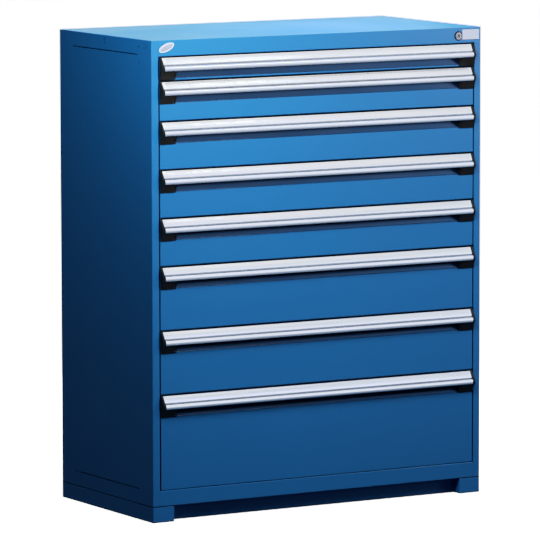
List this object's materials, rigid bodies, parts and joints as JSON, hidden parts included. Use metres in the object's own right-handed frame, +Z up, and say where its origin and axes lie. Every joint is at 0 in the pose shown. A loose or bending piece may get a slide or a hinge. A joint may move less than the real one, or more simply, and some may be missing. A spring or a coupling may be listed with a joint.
{
  "type": "drawer cabinet",
  "caption": "Tall sheet-steel drawer cabinet on a low base, with full-width aluminium pulls, roller slides, and a key lock that lifts a locking bar.",
  "frame": {"origin": "centre of the overall box's underside, on the floor, with every drawer closed", "axes": "+Z up, drawer fronts towards -Y, +X to the right seen from the front"},
  "size_m": [1.2192, 0.6326, 1.524],
  "materials": {
    "housing_paint": "satin powder coat",
    "drawer_paint": "satin powder coat",
    "zinc_steel": "zinc plated",
    "pull_aluminium": "clear anodised",
    "black_plastic": "fine moulded grain",
    "lock_nickel": "satin nickel"
  },
  "bodies": {
    "housing": {"left_side_panel": "housing_paint", "right_side_panel": "housing_paint", "top_panel": "housing_paint", "bottom_panel": "housing_paint", "back_panel": "housing_paint", "base_left_rail": "housing_paint", "base_right_rail": "housing_paint", "base_front_panel": "housing_paint", "base_rear_panel": "housing_paint", "left_uprights": "zinc_steel", "right_uprights": "zinc_steel", "left_fixed_rails": "zinc_steel", "right_fixed_rails": "zinc_steel", "lock_bar_guides": "zinc_steel", "lock_body": "lock_nickel"},
    "drawer_1": {"drawer_1_box": "drawer_paint", "drawer_1_front": "drawer_paint", "drawer_1_pull": "pull_aluminium", "drawer_1_pull_ends": "black_plastic"},
    "carriage_1": {"carriage_1": "zinc_steel"},
    "drawer_2": {"drawer_2_box": "drawer_paint", "drawer_2_front": "drawer_paint", "drawer_2_pull": "pull_aluminium", "drawer_2_pull_ends": "black_plastic"},
    "carriage_2": {"carriage_2": "zinc_steel"},
    "drawer_3": {"drawer_3_box": "drawer_paint", "drawer_3_front": "drawer_paint", "drawer_3_pull": "pull_aluminium", "drawer_3_pull_ends": "black_plastic"},
    "carriage_3": {"carriage_3": "zinc_steel"},
    "drawer_4": {"drawer_4_box": "drawer_paint", "drawer_4_front": "drawer_paint", "drawer_4_pull": "pull_aluminium", "drawer_4_pull_ends": "black_plastic"},
    "carriage_4": {"carriage_4": "zinc_steel"},
    "drawer_5": {"drawer_5_box": "drawer_paint", "drawer_5_front": "drawer_paint", "drawer_5_pull": "pull_aluminium", "drawer_5_pull_ends": "black_plastic"},
    "carriage_5": {"carriage_5": "zinc_steel"},
    "drawer_6": {"drawer_6_box": "drawer_paint", "drawer_6_front": "drawer_paint", "drawer_6_pull": "pull_aluminium", "drawer_6_pull_ends": "black_plastic"},
    "carriage_6": {"carriage_6": "zinc_steel"},
    "drawer_7": {"drawer_7_box": "drawer_paint", "drawer_7_front": "drawer_paint", "drawer_7_pull": "pull_aluminium", "drawer_7_pull_ends": "black_plastic"},
    "carriage_7": {"carriage_7": "zinc_steel"},
    "drawer_8": {"drawer_8_box": "drawer_paint", "drawer_8_front": "drawer_paint", "drawer_8_pull": "pull_aluminium", "drawer_8_pull_ends": "black_plastic"},
    "carriage_8": {"carriage_8": "zinc_steel"},
    "lock_core": {"lock_plug": "lock_nickel", "lock_cam": "zinc_steel"},
    "lock_bar": {"lock_bar": "zinc_steel"}
  },
  "joints": [
    {"name": "drawer_1_slide", "type": "slide", "parent": "housing", "child": "drawer_1", "axis": [0, -1, 0], "range_m": [0, 0.52]},
    {"name": "carriage_1_slide", "type": "slide", "parent": "housing", "child": "carriage_1", "axis": [0, -1, 0], "range_m": [0, 0.26]},
    {"name": "drawer_2_slide", "type": "slide", "parent": "housing", "child": "drawer_2", "axis": [0, -1, 0], "range_m": [0, 0.52]},
    {"name": "carriage_2_slide", "type": "slide", "parent": "housing", "child": "carriage_2", "axis": [0, -1, 0], "range_m": [0, 0.26]},
    {"name": "drawer_3_slide", "type": "slide", "parent": "housing", "child": "drawer_3", "axis": [0, -1, 0], "range_m": [0, 0.52]},
    {"name": "carriage_3_slide", "type": "slide", "parent": "housing", "child": "carriage_3", "axis": [0, -1, 0], "range_m": [0, 0.26]},
    {"name": "drawer_4_slide", "type": "slide", "parent": "housing", "child": "drawer_4", "axis": [0, -1, 0], "range_m": [0, 0.52]},
    {"name": "carriage_4_slide", "type": "slide", "parent": "housing", "child": "carriage_4", "axis": [0, -1, 0], "range_m": [0, 0.26]},
    {"name": "drawer_5_slide", "type": "slide", "parent": "housing", "child": "drawer_5", "axis": [0, -1, 0], "range_m": [0, 0.52]},
    {"name": "carriage_5_slide", "type": "slide", "parent": "housing", "child": "carriage_5", "axis": [0, -1, 0], "range_m": [0, 0.26]},
    {"name": "drawer_6_slide", "type": "slide", "parent": "housing", "child": "drawer_6", "axis": [0, -1, 0], "range_m": [0, 0.52]},
    {"name": "carriage_6_slide", "type": "slide", "parent": "housing", "child": "carriage_6", "axis": [0, -1, 0], "range_m": [0, 0.26]},
    {"name": "drawer_7_slide", "type": "slide", "parent": "housing", "child": "drawer_7", "axis": [0, -1, 0], "range_m": [0, 0.52]},
    {"name": "carriage_7_slide", "type": "slide", "parent": "housing", "child": "carriage_7", "axis": [0, -1, 0], "range_m": [0, 0.26]},
    {"name": "drawer_8_slide", "type": "slide", "parent": "housing", "child": "drawer_8", "axis": [0, -1, 0], "range_m": [0, 0.52]},
    {"name": "carriage_8_slide", "type": "slide", "parent": "housing", "child": "carriage_8", "axis": [0, -1, 0], "range_m": [0, 0.26]},
    {"name": "lock_turn", "type": "hinge", "parent": "housing", "child": "lock_core", "pos_m": [0.5239, -0.2933, 1.4967], "axis": [0, 1, 0], "range_deg": [0, 90]},
    {"name": "lock_bar_lift", "type": "slide", "parent": "housing", "child": "lock_bar", "axis": [0, 0, 1], "range_m": [0, 0.0099]}
  ],
  "couplings": [
    {"joint": "carriage_1_slide", "follows": "drawer_1_slide", "ratio": 0.5},
    {"joint": "carriage_2_slide", "follows": "drawer_2_slide", "ratio": 0.5},
    {"joint": "carriage_3_slide", "follows": "drawer_3_slide", "ratio": 0.5},
    {"joint": "carriage_4_slide", "follows": "drawer_4_slide", "ratio": 0.5},
    {"joint": "carriage_5_slide", "follows": "drawer_5_slide", "ratio": 0.5},
    {"joint": "carriage_6_slide", "follows": "drawer_6_slide", "ratio": 0.5},
    {"joint": "carriage_7_slide", "follows": "drawer_7_slide", "ratio": 0.5},
    {"joint": "carriage_8_slide", "follows": "drawer_8_slide", "ratio": 0.5},
    {"joint": "lock_turn", "follows": "lock_bar_lift", "rad_per_m": 158.67}
  ]
}
